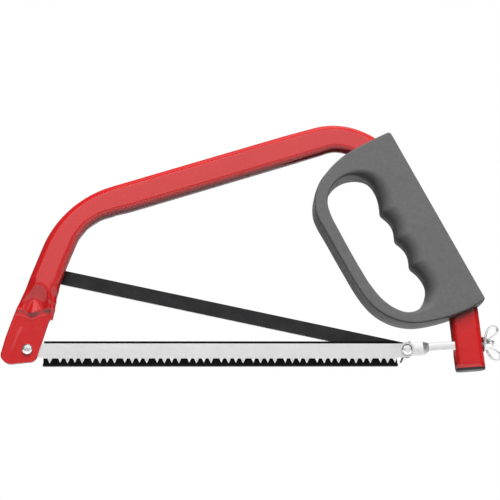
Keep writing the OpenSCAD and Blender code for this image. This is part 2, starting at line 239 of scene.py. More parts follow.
def pressed_height(point):
    """Half thickness of the pressed leg at a point of the saw's plane: an arched crease
    where the press starts, a hollow, a raised triangle and a smiling step to the toe."""
    off = point - LEG_FOOT
    s, w = off.dot(leg_dir), off.dot(leg_side)
    crease = 54.8 - 0.075 * (w + 0.5) ** 2
    height = -soft_max(-TUBE_HALF_T, -(TUBE_HALF_T - 0.30 * (crease - s)), 0.25)
    height = soft_max(height, 2.45, 0.5)
    down = 43.5 - s
    ridge = abs(w + 2.4 - 0.50 * down)
    triangle = 2.35 + 0.175 * down - 0.75 * max(0.0, ridge - 0.33 * down)
    triangle -= 0.05 * ridge
    height = soft_max(height, triangle, 0.22)
    second = 4.2 - 0.42 * abs(w - 10.2) - 0.10 * abs(s - 42.5) ** 1.3
    height = soft_max(height, second, 0.35)
    smile = 30.3 - 3.4 * math.exp(-((point.x - 2.6) / 5.2) ** 2)
    lift = eased((point.y - smile) / 1.9)
    toe = TOE_HALF_T + 0.05 * math.exp(-((point.y - smile + 3.0) / 1.0) ** 2)
    along = eased((20 - s) / 8) * eased((s + 12) / 10)
    toe += 0.24 * along * math.exp(-((w + 1.9 - 0.045 * (4 - s)) / 1.5) ** 2)
    return toe + (height - toe) * lift


NOTCH_S = 32.0
FLAT_COLUMNS, ROUND_COLUMNS = 26, 12


def section(centre_w, half_w, half_t):
    """One closed section as (across, depth, flat position or None), seen along the leg:
    front flat, right round, back flat, left round."""
    flat, points = half_w - half_t, []
    for k in range(FLAT_COLUMNS + 1):
        f = -1 + 2 * k / FLAT_COLUMNS
        points.append((centre_w + f * flat, -half_t, f))
    for k in range(1, ROUND_COLUMNS):
        a = math.pi * k / ROUND_COLUMNS
        points.append((centre_w + flat + half_t * math.sin(a), -half_t * math.cos(a), None))
    for k in range(FLAT_COLUMNS + 1):
        f = 1 - 2 * k / FLAT_COLUMNS
        points.append((centre_w + f * flat, half_t, f))
    for k in range(1, ROUND_COLUMNS):
        a = math.pi * k / ROUND_COLUMNS
        points.append((centre_w - flat - half_t * math.sin(a), half_t * math.cos(a), None))
    return points


def tube_ring(spot, angle, middle_w, half_w, half_t):
    """Points of one section square to the tube's centre line."""
    side = heading(angle - 90)
    return [Vector((spot.x + side.x * across, depth, spot.y + side.y * across))
            for across, depth, _ in section(middle_w, half_w, half_t)]


left_edge = ((NOTCH_S, -12.75), (37, -12.35), (48, -11.95), (60, -12.3))
right_edge = ((NOTCH_S, 17.9), (38.6, 17.0), (45, 15.6), (52, 14.1), (62, 12.9), (74, 12.3))
side_half_t = ((NOTCH_S, TOE_HALF_T), (46, 3.7), (60, TUBE_HALF_T))
tube_rows = []
stations = centre_line()
# Above the notch the leg is pressed from the flat oval down to the toe; its two edges widen
pressed = [NOTCH_S + 0.75 * i for i in range(57)]
for s in pressed:
    low, high = through(left_edge, s), through(right_edge, s)
    half_t = through(side_half_t, s)
    row = []
    for across, depth, f in section((low + high) / 2, (high - low) / 2, half_t):
        spot = LEG_FOOT + leg_dir * s + leg_side * across
        if f is not None:
            inner = eased((1 - abs(f)) / 0.22)
            depth = math.copysign(half_t + (pressed_height(spot) - half_t) * inner, depth)
        row.append(Vector((spot.x, depth, spot.y)))
    tube_rows.append(row)
# The bends push the tube's inner and outer sides in and out a little
inner_swell = ((90, 0), (107, -1.7), (119, -2.2), (131, -1.5), (146, 0.2), (162, 1.1),
               (300, 1.1), (326, 0.9), (346, -0.5), (362, -0.5), (380, 0))
outer_swell = ((300, 0), (335, -0.6), (362, -0.5), (380, 0))
for s, spot, angle in stations:
    if s > pressed[-1] + 1:
        inner, outer = through(inner_swell, s), through(outer_swell, s)
        tube_rows.append(tube_ring(spot, angle, (inner - outer) / 2,
                                   TUBE_HALF_W + (inner + outer) / 2, TUBE_HALF_T))

# The toe is a patch between the notch line, the fold on its left, the round bottom and the
# cut edge on its right
toe_top = [LEG_FOOT + leg_dir * NOTCH_S + leg_side * (-12.75 + TOE_HALF_T + t * 27.5)
           for t in (k / FLAT_COLUMNS for k in range(FLAT_COLUMNS + 1))]
toe_bottom = arc((-12.4, -3.5), 8.35, 212, 275, 13) + arc((1.9, -4.2), 6.2, 275, 318, 12)
TOE_ROWS = 44


def along_line(points, t):
    """Point at share t of the length of a line of points."""
    lengths = [(b - a).length for a, b in zip(points, points[1:])]
    left = t * sum(lengths)
    for a, b, length in zip(points, points[1:], lengths):
        if left <= length or b is points[-1]:
            return a.lerp(b, min(1.0, left / length))
        left -= length
    return points[-1].copy()


fold = [toe_top[0], LEG_FOOT + leg_dir * 20 + leg_side * -11.0,
        LEG_FOOT + leg_dir * 6 + leg_side * -10.4] + [
    Vector((-12.6, -3.4)) + heading(a) * (8.2 - TOE_HALF_T * eased((206 - a) / 40))
    for a in (168, 180, 190, 200, 207)] + [toe_bottom[0]]
cut = [toe_top[-1], LEG_FOOT + leg_dir * 30.6 + leg_side * 15.7,
       LEG_FOOT + leg_dir * 28.8 + leg_side * 15.5] + arc((1.9, -4.2), 6.2, 342, 318, 8)
bottom_even = [along_line(toe_bottom, k / FLAT_COLUMNS) for k in range(FLAT_COLUMNS + 1)]
toe_rows = []
for r in range(1, TOE_ROWS + 1):
    v = r / TOE_ROWS
    left_at, right_at = along_line(fold, v), along_line(cut, v)
    flat_spots = []
    for k in range(FLAT_COLUMNS + 1):
        u = k / FLAT_COLUMNS
        ruled = toe_top[k].lerp(bottom_even[k], v) + left_at.lerp(right_at, u)
        corners = toe_top[0].lerp(bottom_even[0], v).lerp(toe_top[-1].lerp(bottom_even[-1], v), u)
        flat_spots.append(ruled - corners)
    near = along_line(fold, min(1.0, v + 0.01)) - along_line(fold, max(0.0, v - 0.01))
    outwards = Vector((near.y, -near.x)).normalized()
    roll = TOE_HALF_T * (1 - 0.8 * eased((v - 0.86) / 0.14))
    front = [Vector((p.x, -pressed_height(p), p.y)) for p in flat_spots]
    back = [Vector((p.x, pressed_height(p), p.y)) for p in reversed(flat_spots)]
    fold_round = []
    for k in range(1, ROUND_COLUMNS):
        a = math.pi * k / ROUND_COLUMNS
        edge = left_at + outwards * roll * math.sin(a)
        fold_round.append(Vector((edge.x, back[-1].y * math.cos(a), edge.y)))
    toe_rows.append(front + [None] * (ROUND_COLUMNS - 1) + back + fold_round)


def join_rings(bm, lower, upper):
    """Faces between two matching closed rings, leaving out places with no vertex."""
    for k in range(len(lower)):
        m = (k + 1) % len(lower)
        corners = (lower[k], lower[m], upper[m], upper[k])
        if None not in corners:
            bm.faces.new(corners)


def skin(bm, rows, looped=False, capped=False):
    """Faces over rows of points, returning the rows' vertices. Looped joins the last row to
    the first, and capped shuts both ends."""
    rings = [[None if p is None else bm.verts.new(p) for p in row] for row in rows]
    for lower, upper in zip(rings, rings[1:] + rings[:1] if looped else rings[1:]):
        join_rings(bm, lower, upper)
    if capped:
        bm.faces.new(list(reversed(rings[0])))
        bm.faces.new(rings[-1])
    return rings


def link_mesh(name, bm, material, sharp_angle=35):
    """Turns a bmesh in saw millimetres into a piece with smooth shading up to an angle."""
    bm.transform(saw_frame)
    bm.normal_update()
    mesh = bpy.data.meshes.new(name)
    bm.to_mesh(mesh)
    bm.free()
    mesh.materials.append(material)
    mesh.shade_smooth()
    mesh.set_sharp_from_angle(angle=math.radians(sharp_angle))
    piece = bpy.data.objects.new(name, mesh)
    bpy.context.scene.collection.objects.link(piece)
    return piece


def apply_modifiers(piece):
    """Bakes the modifiers into the mesh, so that the mesh itself holds what is seen."""
    done = bpy.data.meshes.new_from_object(
        piece.evaluated_get(bpy.context.evaluated_depsgraph_get()))
    piece.modifiers.clear()
    piece.data = done


def carve(piece, cutters):
    """Cuts closed tool meshes out of a piece and throws the tools away."""
    for tool in cutters:
        cut_step = piece.modifiers.new("carve", "BOOLEAN")
        cut_step.operation, cut_step.solver, cut_step.object = "DIFFERENCE", "EXACT", tool
    bpy.context.view_layer.update()
    apply_modifiers(piece)
    for tool in cutters:
        bpy.data.objects.remove(tool)


def new_group(name, inputs, output, output_kind="NodeSocketFloat"):
    """A shader node group with named inputs and one output."""
    group = bpy.data.node_groups.new(name, "ShaderNodeTree")
    for label, value in inputs:
        socket = group.interface.new_socket(name=label, in_out="INPUT",
                                            socket_type="NodeSocketFloat")
        socket.default_value = value
    group.interface.new_socket(name=output, in_out="OUTPUT", socket_type=output_kind)
    return group, group.nodes.new("NodeGroupInput").outputs, group.nodes.new("NodeGroupOutput")


def texture_space(group, size_mm):
    """A texture's inputs that lay it out on the piece with features of a size."""
    scale = put(group, "ShaderNodeMath", {0: 1 / MM, 1: size_mm}, operation="DIVIDE")
    spots = put(group, "ShaderNodeTexCoord")
    return {"Vector": spots.outputs["Object"], "Scale": scale.outputs[0]}


# Mottle: slow patches of a finish, 0 to 1
mottle_group, given, out = new_group("mottle", [("Size mm", 20.0), ("Detail", 3.0)], "Patches")
patches = put(mottle_group, "ShaderNodeTexNoise", {
    **texture_space(mottle_group, given["Size mm"]), "Detail": given["Detail"], "Roughness": 0.55})
spread = put(mottle_group, "ShaderNodeMapRange", {"Value": patches.outputs["Fac"],
                                                  "From Min": 0.3, "From Max": 0.7})
mottle_group.links.new(spread.outputs["Result"], out.inputs["Patches"])

# Edge wear: picks out rounded and cut edges, broken up so that it never makes an even line
wear_group, given, out = new_group(
    "edge_wear", [("Radius mm", 0.5), ("Breakup mm", 3.0), ("Amount", 0.5)], "Worn")
reach = put(wear_group, "ShaderNodeMath", {0: given["Radius mm"], 1: MM}, operation="MULTIPLY")
rounded = put(wear_group, "ShaderNodeBevel", {"Radius": reach.outputs[0]}, samples=6)
facing = put(wear_group, "ShaderNodeNewGeometry")
agree = put(wear_group, "ShaderNodeVectorMath",
            {0: rounded.outputs["Normal"], 1: facing.outputs["Normal"]}, operation="DOT_PRODUCT")
edge = put(wear_group, "ShaderNodeMapRange", {"Value": agree.outputs["Value"], "From Min": 0.99,
                                              "From Max": 0.80, "To Min": 0.0, "To Max": 1.0})
broken = put(wear_group, "ShaderNodeTexNoise",
             {**texture_space(wear_group, given["Breakup mm"]), "Detail": 4.0})
chips = put(wear_group, "ShaderNodeMapRange", {"Value": broken.outputs["Fac"],
                                               "From Min": 0.45, "From Max": 0.62})
both = put(wear_group, "ShaderNodeMath", {0: edge.outputs["Result"], 1: chips.outputs["Result"]},
           operation="MULTIPLY")
share = put(wear_group, "ShaderNodeMath", {0: both.outputs[0], 1: given["Amount"]},
            operation="MULTIPLY")
wear_group.links.new(share.outputs[0], out.inputs["Worn"])


def effect(tree, group, values):
    """Places a shared effect in a material with its own values."""
    made = tree.nodes.new("ShaderNodeGroup")
    made.node_tree = group
    for label, value in values.items():
        made.inputs[label].default_value = value
    return made.outputs[0]


def two_tone(tree, share, first, second):
    """Colour that goes from the first to the second with a mask; each is a plain colour or
    another node's output."""
    mix = put(tree, "ShaderNodeMix", {"Factor": share}, data_type="RGBA")
    ends = [socket for socket in mix.inputs if socket.type == "RGBA"]
    for socket, end in zip(ends, (first, second)):
        if isinstance(end, bpy.types.NodeSocket):
            tree.links.new(end, socket)
        else:
            socket.default_value = (*end, 1)
    return next(socket for socket in mix.outputs if socket.type == "RGBA")


def mottle(tree, size_mm, detail):
    return effect(tree, mottle_group, {"Size mm": size_mm, "Detail": detail})


def between(tree, share, low, high):
    """A value that goes from low to high with a mask."""
    return put(tree, "ShaderNodeMapRange", {"Value": share, "To Min": low,
                                            "To Max": high}).outputs["Result"]


def dress(tree, shader, colour, roughness, relief, strength, depth):
    """Feeds a shader its colour, its roughness and a shallow relief of a depth in metres."""
    bump = put(tree, "ShaderNodeBump", {"Strength": strength, "Distance": depth, "Height": relief})
    for name, source in (("Base Color", colour), ("Roughness", roughness),
                         ("Normal", bump.outputs["Normal"])):
        tree.links.new(source, shader.inputs[name])


def red_enamel():
    material, tree, shader = finish_of("red_enamel", {
        "Specular IOR Level": 0.35, "Coat Weight": 0.7, "Coat Roughness": 0.06})
    colour = two_tone(tree, mottle(tree, 55.0, 2.0), (0.46, 0.005, 0.007), (0.50, 0.007, 0.008))
    worn = effect(tree, wear_group, {"Radius mm": 0.35, "Breakup mm": 2.2, "Amount": 0.55})
    dress(tree, shader, two_tone(tree, worn, colour, (0.22, 0.012, 0.012)),
          between(tree, mottle(tree, 9.0, 5.0), 0.20, 0.30), mottle(tree, 1.4, 1.0), 0.10, 8e-5)
    return material


enamel = red_enamel()
bm = bmesh.new()
skin(bm, toe_rows[::-1] + tube_rows)
bmesh.ops.recalc_face_normals(bm, faces=bm.faces)
# The tube is open at both ends, so its topmost point tells which way is out
if max(bm.verts, key=lambda v: v.co.z).normal.z < 0:
    bmesh.ops.reverse_faces(bm, faces=bm.faces)
tube = link_mesh("frame_tube_painted", bm, enamel, 60)
wall = tube.modifiers.new("wall", "SOLIDIFY")
wall.thickness, wall.offset = TUBE_WALL * MM, -1


def at(x, y, z):
    return Matrix.Translation((x, y, z))


def block(size, place):
    """A closed box tool in saw millimetres, placed by a matrix."""
    bm = bmesh.new()
    bmesh.ops.create_cube(bm, size=1, matrix=place @ Matrix.Diagonal((*size, 1)))
    return link_mesh("tool", bm, enamel)


def peg(radius, length, place, sides=48):
    """A closed round tool along its own z, centred, placed by a matrix."""
    bm = bmesh.new()
    bmesh.ops.create_cone(bm, cap_ends=True, segments=sides, radius1=radius, radius2=radius,
                          depth=length, matrix=place)
    return link_mesh("tool", bm, enamel)


# The draw bolt's own line, from the rear screw towards the foot and four degrees up. It
# passes a square hole in the foot's near wall and a round one in its far wall
draw_frame = at(PIN_PITCH, 0, 0) @ Matrix.Rotation(math.radians(-4), 4, "Y")
FOOT_X = 49.6
SQUARE_HOLE, BOLT_HOLE_R, TOE_HOLE_R = 7.8, 3.5, 2.65
ALONG_X = Matrix.Rotation(math.radians(90), 4, "Y")
ALONG_Y = Matrix.Rotation(math.radians(-90), 4, "X")
carve(tube, [
    block((24, SQUARE_HOLE, SQUARE_HOLE), draw_frame @ at(FOOT_X - 12, 0, 0)),
    peg(BOLT_HOLE_R, 40, draw_frame @ at(FOOT_X + 8, 0, 0) @ ALONG_X),
    peg(TOE_HOLE_R, 12, ALONG_Y),
])
softened = tube.modifiers.new("softened", "BEVEL")
softened.width, softened.segments = 0.22 * MM, 2
softened.limit_method, softened.angle_limit = "ANGLE", math.radians(50)
bpy.context.view_layer.update()
apply_modifiers(tube)
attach(tube, "frame")
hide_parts("frame_tube")

# ----------------------------------------
# Handle: two glass-filled nylon shells in satin grey, screwed together round the tube
# from behind. The loop guards the knuckles; the finger side is fully rounded and has
# grooves for the fingers. The fine spark-eroded grain comes from the mould.
# ----------------------------------------
HANDLE_HALF = 12.0
BACK_CORNER = Vector((296.1, 181.5))
grip_dir = heading(GRIP_A)
grip_side = heading(GRIP_A + 90)


def on_grip(down, forward):
    """Point a distance down the grip's back line and forward towards the fingers."""
    return BACK_CORNER + grip_dir * down - grip_side * forward


RIDGE_FROM, RIDGE_PITCH = 56.6, 25.5


def finger_line(down):
    """Forward reach of the finger side at mid thickness: tight ridges, wide grooves."""
    swing = math.sin(math.pi * (down - RIDGE_FROM) / RIDGE_PITCH)
    lean = 0.008 * (down - RIDGE_FROM)
    return 39.15 + lean - 4.3 * (math.sqrt(swing * swing + 0.045) - 0.21)


def vectors(*pairs):
    return [Vector(pair) for pair in pairs]


hole_knots = (
    vectors((244.1, 110.8), (241.8, 121.0), (243.6, 130.4), (248.8, 138.6),
            (257.2, 144.0), (266.4, 145.1), (274.6, 142.6), (280.2, 137.0), (283.6, 130.0),
            (285.2, 123.6))
    + [on_grip(down, finger_line(down)) for down in (52.6 + 2.2 * i for i in range(30))]
    + vectors((319.6, 54.6), (321.0, 47.4), (318.4, 38.2), (313.2, 31.4), (304.4, 28.6),
              (294.2, 31.8), (284.2, 39.2), (275.0, 50.8), (267.2, 64.2), (259.3, 79.2),
              (251.5, 94.9))
)


def closed_curve(knots, spacing):
    """Even points on a closed curve that passes smoothly through its knots."""
    fine = []
    count = len(knots)
    for i in range(count):
        p0, p1, p2, p3 = (knots[(i + k - 1) % count] for k in range(4))
        d1 = max(1e-6, (p1 - p0).length) ** 0.5
        d2 = max(1e-6, (p2 - p1).length) ** 0.5
        d3 = max(1e-6, (p3 - p2).length) ** 0.5
        m1 = (p2 - p1) + ((p1 - p0) / d1 - (p2 - p0) / (d1 + d2)) * d2
        m2 = (p2 - p1) + ((p3 - p2) / d3 - (p3 - p1) / (d2 + d3)) * d2
        for k in range(12):
            t = k / 12
            fine.append(p1 * (2 * t ** 3 - 3 * t ** 2 + 1) + m1 * (t ** 3 - 2 * t ** 2 + t)
                        + p2 * (3 * t ** 2 - 2 * t ** 3) + m2 * (t ** 3 - t ** 2))
    fine.append(fine[0].copy())
    total = sum((b - a).length for a, b in zip(fine, fine[1:]))
    return [along_line(fine, i * spacing / total) for i in range(int(total / spacing))]


def inward_normals(points, reach):
    """Unit normals to the left of a closed line, averaged over a few neighbours."""
    count = len(points)
    found = []
    for i in range(count):
        tangent = points[(i + reach) % count] - points[(i - reach) % count]
        found.append(Vector((-tangent.y, tangent.x)).normalized())
    smooth = []
    for i in range(count):
        total = Vector((0, 0))
        for k in range(-reach, reach + 1):
            total += found[(i + k) % count]
        smooth.append(total.normalized())
    return smooth


LOOP_KNOTS = ((284.9, 178.7), (277.8, 174.9), (270.6, 171.0), (263.6, 167.0), (256.9, 162.7),
              (250.6, 157.3), (245.6, 152.3), (241.4, 147.2), (236.4, 140.6), (232.9, 133.0),
              (230.8, 122.6), (231.3, 113.4), (234.1, 105.4), (240.9, 92.5), (248.2, 78.4),
              (255.8, 64.0), (263.6, 49.7), (269.4, 40.8), (276.0, 32.9), (280.8, 28.7),
              (286.3, 25.2), (292.2, 22.4), (298.4, 20.5), (304.5, 19.4), (310.8, 19.1),
              (319.3, 20.0), (327.6, 21.7), (335.7, 23.9), (343.8, 26.6), (351.4, 29.7),
              (358.2, 33.1))
BACK_SPOTS = (147.5, 130.0, 110.0, 90.0, 70.0, 50.0, 30.0, 10.5)
handle_outer = closed_curve(
    arc(on_grip(0.6, 2.05), 3.0, 26.6, 118, 6) + vectors(*LOOP_KNOTS)
    + arc(on_grip(157.2, 2.05), 3.0, -58, 26.6, 6)
    + [on_grip(down, -0.95) for down in BACK_SPOTS], 1.2)
hole_line = closed_curve(hole_knots, 1.15)
hole_out = inward_normals(hole_line, 5)


def rounding_at(point):
    """Width of the rounding from the hole to the flat face: broad on the finger side and
    under the top, and only a small radius along the loop."""
    off = point - BACK_CORNER
    down, forward = off.dot(grip_dir), -off.dot(grip_side)
    fingers = eased((down - 2) / 40) * eased((62 - forward) / 26) * eased((153 - down) / 16)
    return 1.3 + 10.2 * fingers


def fill_between(bm, *rings):
    """A flat face within closed rings of vertices that already have their edges."""
    edges = [bm.edges.get((ring[i], ring[(i + 1) % len(ring)]))
             for ring in rings for i in range(len(ring))]
    bmesh.ops.triangle_fill(bm, use_beauty=True, edges=edges)


def handle_shell(name, side):
    """One shell, on the viewer's side (-1) or behind (+1)."""
    bm = bmesh.new()
    outer_in = inward_normals(handle_outer, 1)
    edge_r, groove, draft = 1.5, 0.35, 0.25
    rows = []
    for depth, inset in ([(0.0, groove), (groove, 0.0), (6.0, 0.12), (HANDLE_HALF - edge_r, draft)]
                         + [(HANDLE_HALF - edge_r + edge_r * math.sin(a),
                             draft + edge_r * (1 - math.cos(a)))
                            for a in (math.radians(11.25 * k) for k in range(1, 9))]
                         + [(HANDLE_HALF, draft + edge_r + 0.4)]):
        rows.append([Vector((p.x + n.x * inset, side * depth, p.y + n.y * inset))
                     for p, n in zip(handle_outer, outer_in)])
    outer_rings = skin(bm, rows)
    rows = []
    widths = [rounding_at(p) for p in hole_line]
    for kind, value in ([("wall", 0.0), ("wall", 1.0)] + [("turn", 9.0 * k) for k in range(11)]
                        + [("ring", 0.4)]):
        row = []
        for p, n, width in zip(hole_line, hole_out, widths):
            tall = min(HANDLE_HALF - 0.5, 1.1 * width + 0.4 * max(0.0, width - 4))
            if kind == "wall":
                out_by, depth = groove * (1 - value), groove * value
            elif kind == "turn":
                a = math.radians(value)
                out_by = width * (1 - math.cos(a))
                depth = HANDLE_HALF - tall + tall * math.sin(a)
            else:
                out_by, depth = width + value, HANDLE_HALF
            row.append(Vector((p.x + n.x * out_by, side * depth, p.y + n.y * out_by)))
        rows.append(row)
    hole_rings = skin(bm, rows)
    fill_between(bm, outer_rings[-1], hole_rings[-1])
    fill_between(bm, outer_rings[0], hole_rings[0])
    bmesh.ops.recalc_face_normals(bm, faces=bm.faces)
    return link_mesh(name, bm, moulded, 40)


# Mould grain: the fine spark-eroded texture of moulded plastic, as a height
grain_group, given, out = new_group("mould_grain", [("Grain mm", 0.35)], "Height")
grain_space = texture_space(grain_group, given["Grain mm"])
pits = put(grain_group, "ShaderNodeTexNoise", {**grain_space, "Detail": 3.0, "Roughness": 0.7})
cells = put(grain_group, "ShaderNodeTexVoronoi", grain_space)
joined = put(grain_group, "ShaderNodeMath", {0: pits.outputs["Fac"], 1: cells.outputs["Distance"]},
             operation="ADD")
grain_group.links.new(joined.outputs[0], out.inputs["Height"])


def grained_plastic(name, dark, light, rough_low, rough_high, grain_mm, strength, shine=0.4):
    material, tree, shader = finish_of(name, {"Specular IOR Level": shine})
    dress(tree, shader, two_tone(tree, mottle(tree, 3.2, 6.0), dark, light),
          between(tree, mottle(tree, 26.0, 4.0), rough_low, rough_high),
          effect(tree, grain_group, {"Grain mm": grain_mm}), strength, 5e-5)
    return material


moulded = grained_plastic("satin_grey_nylon", (0.094, 0.094, 0.096), (0.113, 0.113, 0.115),
                          0.46, 0.56, 0.45, 0.5)
loop_screw_places = vectors((245.8, 146), (251, 86), (280, 35.6), (328.5, 31.4))
grip_screw_place = on_grip(86, 2.9 + TUBE_HALF_W)


def tube_tool():
    """The channel for the tube, as a closed tool a little wider than the tube."""
    bm = bmesh.new()
    gap, channel_from = 0.15, 200
    skin(bm, [tube_ring(spot, angle, 0, TUBE_HALF_W + gap, TUBE_HALF_T + gap)
              for s, spot, angle in stations if s > channel_from], capped=True)
    bmesh.ops.recalc_face_normals(bm, faces=bm.faces)
    return link_mesh("tool", bm, enamel)


handle_front = handle_shell("handle_front_moulding", -1)
carve(handle_front, [tube_tool()])
handle_rear = handle_shell("handle_rear_moulding", 1)
seats = [tube_tool()]
for spot, seat in [(p, 6.0) for p in loop_screw_places] + [(grip_screw_place, 8.2)]:
    seats.append(peg(3.6, 10, at(spot.x, seat + 5, spot.y) @ ALONG_Y))
carve(handle_rear, seats)
for shell, node in ((handle_front, "handle_front_shell"), (handle_rear, "handle_rear_shell")):
    shell.data.shade_smooth()
    shell.data.set_sharp_from_angle(angle=math.radians(38))
    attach(shell, "frame")
    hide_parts(node)

# ----------------------------------------
# Handle screws: five zinc-plated pan-head screws with cross recesses, driven from behind
# into counterbores. Four hold the loop and base, and one passes through the tube.
# ----------------------------------------
def plated_steel(name, dark, light, rough_low, rough_high, scratch_mm=0.6):
    material, tree, shader = finish_of(name, {"Metallic": 1.0})
    dress(tree, shader, two_tone(tree, mottle(tree, 4.0, 5.0), dark, light),
          between(tree, mottle(tree, 1.6, 4.0), rough_low, rough_high),
          mottle(tree, scratch_mm, 6.0), 0.06, 2e-5)
    return material


bright_zinc = plated_steel("bright_zinc", (0.76, 0.77, 0.78), (0.84, 0.84, 0.84), 0.20, 0.30)


def turned(bm, profile, place, sides=48, closed=False):
    """Turns a profile of (radius, height) about its own z and places it."""
    skin(bm, [[place @ Vector((r * math.cos(2 * math.pi * k / sides),
                               r * math.sin(2 * math.pi * k / sides), z))
               for k in range(sides)] for r, z in profile], looped=closed)
    bmesh.ops.remove_doubles(bm, verts=bm.verts, dist=1e-5)
    bmesh.ops.dissolve_degenerate(bm, edges=bm.edges, dist=1e-6)
    bmesh.ops.recalc_face_normals(bm, faces=bm.faces)


def thread(bm, radius, pitch, start, length, place, sides=32):
    """A screw thread with closed ends, along its own z."""
    steps = int(length / pitch * 8)
    rows = []
    for i in range(steps + 1):
        z = length * i / steps
        fade = eased(z / pitch) * eased((length - z) / pitch)
        row = []
        for k in range(sides):
            phase = (z / pitch - k / sides) % 1.0
            crest = 1 - abs(2 * phase - 1)
            r = radius * (0.86 + 0.14 * crest * fade)
            a = 2 * math.pi * k / sides
            row.append(place @ Vector((r * math.cos(a), r * math.sin(a), start + z)))
        rows.append(row)
    skin(bm, rows, capped=True)


def cross_screw(name, place, head_r, head_h, shaft_r, length, pitch, material, turn=20):
    """A pan-head screw: its seat at z = 0, its head up z and its shank down z."""
    bm = bmesh.new()
    turned(bm, [(0, head_h), (0.35 * head_r, head_h * 0.99), (0.62 * head_r, head_h * 0.94),
                (0.82 * head_r, head_h * 0.83), (0.94 * head_r, head_h * 0.64),
                (head_r, head_h * 0.38), (head_r, 0.12), (head_r - 0.12, 0),
                (shaft_r * 0.86, 0), (shaft_r * 0.86, -length + 0.3), (0, -length + 0.3)], place)
    thread(bm, shaft_r, pitch, -length, length - 0.6, place)
    screw = link_mesh(name, bm, material, 40)
    # The recess is one cross-shaped tool that tapers down into the head
    bm = bmesh.new()
    rows = []
    for arm, half_w, z in ((0.13 * head_r, 0.05 * head_r, head_h * 0.1),
                           (0.60 * head_r, 0.15 * head_r, head_h + 0.4)):
        row = []
        for quarter in range(4):
            spin = place @ Matrix.Rotation(math.radians(turn + 90 * quarter), 4, "Z")
            row += [spin @ Vector((x, y, z))
                    for x, y in ((arm, -half_w), (arm, half_w), (half_w, half_w))]
        rows.append(row)
    skin(bm, rows, capped=True)
    bmesh.ops.recalc_face_normals(bm, faces=bm.faces)
    carve(screw, [link_mesh("tool", bm, material)])
    return screw


for number, spot in enumerate(loop_screw_places + [grip_screw_place], 1):
    seat, tip = (8.2, -9.0) if number == 5 else (6.0, -6.0)
    screw = cross_screw(f"handle_fixing_{number}", at(spot.x, seat, spot.y) @ ALONG_Y,
                        3.2, 2.2, 1.5, seat - tip, 1.1, bright_zinc, 17 * number)
    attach(screw, "frame")
    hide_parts("grip_screw" if number == 5 else f"handle_screw_{number}")

# ----------------------------------------
# End plug: a soft black plastic cap whose spigot is pushed into the open foot of the tube.
# Its rim covers the tube's cut end.
# ----------------------------------------
plug_black = grained_plastic("plug_black", (0.012, 0.012, 0.013), (0.020, 0.020, 0.021),
                             0.38, 0.55, 0.5, 0.35)
foot_end, foot_angle = stations[-1][1], stations[-1][2]
PLUG_PROFILE = ((-9.0, 1.9), (-8.4, 1.35), (0.0, 1.3), (0.05, 0.25), (1.35, 0.2), (1.75, 0.45),
                (1.95, 1.0), (1.98, 2.2))
bm = bmesh.new()
skin(bm, [tube_ring(foot_end + heading(foot_angle) * along, foot_angle,
                    0, TUBE_HALF_W - inset, TUBE_HALF_T - inset)
          for along, inset in PLUG_PROFILE], capped=True)
bmesh.ops.recalc_face_normals(bm, faces=bm.faces)
plug = link_mesh("foot_plug", bm, plug_black, 40)
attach(plug, "frame")
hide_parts("tube_end_plug")

# ----------------------------------------
# Front blade fixing: a cross-recess machine screw through the toe, with a split lock
# washer and a hexagon nut behind it, all zinc plated.
# ----------------------------------------
satin_zinc = plated_steel("satin_zinc", (0.52, 0.53, 0.55), (0.66, 0.66, 0.67), 0.30, 0.46)
TOWARDS_VIEWER = Matrix.Rotation(math.radians(90), 4, "X")
front_fixing = cross_screw("front_pan_screw", at(0, -TOE_HALF_T - 0.05, 0) @ TOWARDS_VIEWER,
                           4.3, 2.3, 2.5, 9.8, 0.8, bright_zinc, 24)
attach(front_fixing, "frame")
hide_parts("front_blade_screw")

bm = bmesh.new()
WASHER_STEPS, SPLIT_LIFT, SPLIT_T = 64, 0.22, 1.1
WASHER_SECTION = ((2.7, 0.12), (2.7, 0.98), (2.8, 1.08), (4.45, 1.08), (4.58, 0.95), (4.58, 0.15),
                  (4.45, 0.02), (2.8, 0.02))
rows = []
for k in range(WASHER_STEPS + 1):
    turned_by = math.radians(8 + 344 * k / WASHER_STEPS)
    lift = SPLIT_LIFT * (k / WASHER_STEPS - 0.5)
    rows.append([
        (r * math.cos(turned_by), TOE_HALF_T + min(SPLIT_T, max(0.0, y + lift * 0.4)),
         r * math.sin(turned_by)) for r, y in WASHER_SECTION])
skin(bm, rows, capped=True)
bmesh.ops.recalc_face_normals(bm, faces=bm.faces)
lock_washer = link_mesh("front_split_washer", bm, satin_zinc, 30)
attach(lock_washer, "frame")
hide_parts("front_lock_washer")

bm = bmesh.new()
NUT_LOW, NUT_TALL, NUT_R, NUT_CHAMFER = TOE_HALF_T + 1.12, 4.16, 4.6, 0.42
nut_place = at(0, NUT_LOW, 0) @ ALONG_Y
turned(bm, [(2.52, 0.3), (2.9, 0), (3.8, 0), (NUT_R, NUT_CHAMFER), (NUT_R, NUT_TALL - NUT_CHAMFER),
            (3.8, NUT_TALL), (2.9, NUT_TALL), (2.52, NUT_TALL - 0.3)], nut_place, closed=True)
# The turned blank's sides are drawn in to six flats
for vert in bm.verts:
    off = nut_place.inverted() @ vert.co
    around = math.degrees(math.atan2(off.y, off.x)) % 60 - 30
    flat_r = NUT_R * math.cos(math.radians(30)) / math.cos(math.radians(around))
    r = math.hypot(off.x, off.y)
    if r > flat_r:
        off.x, off.y = off.x * flat_r / r, off.y * flat_r / r
        vert.co = nut_place @ off
bmesh.ops.remove_doubles(bm, verts=bm.verts, dist=1e-5)
hex_nut = link_mesh("front_hexagon_nut", bm, satin_zinc, 25)
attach(hex_nut, "frame")
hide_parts("front_nut")

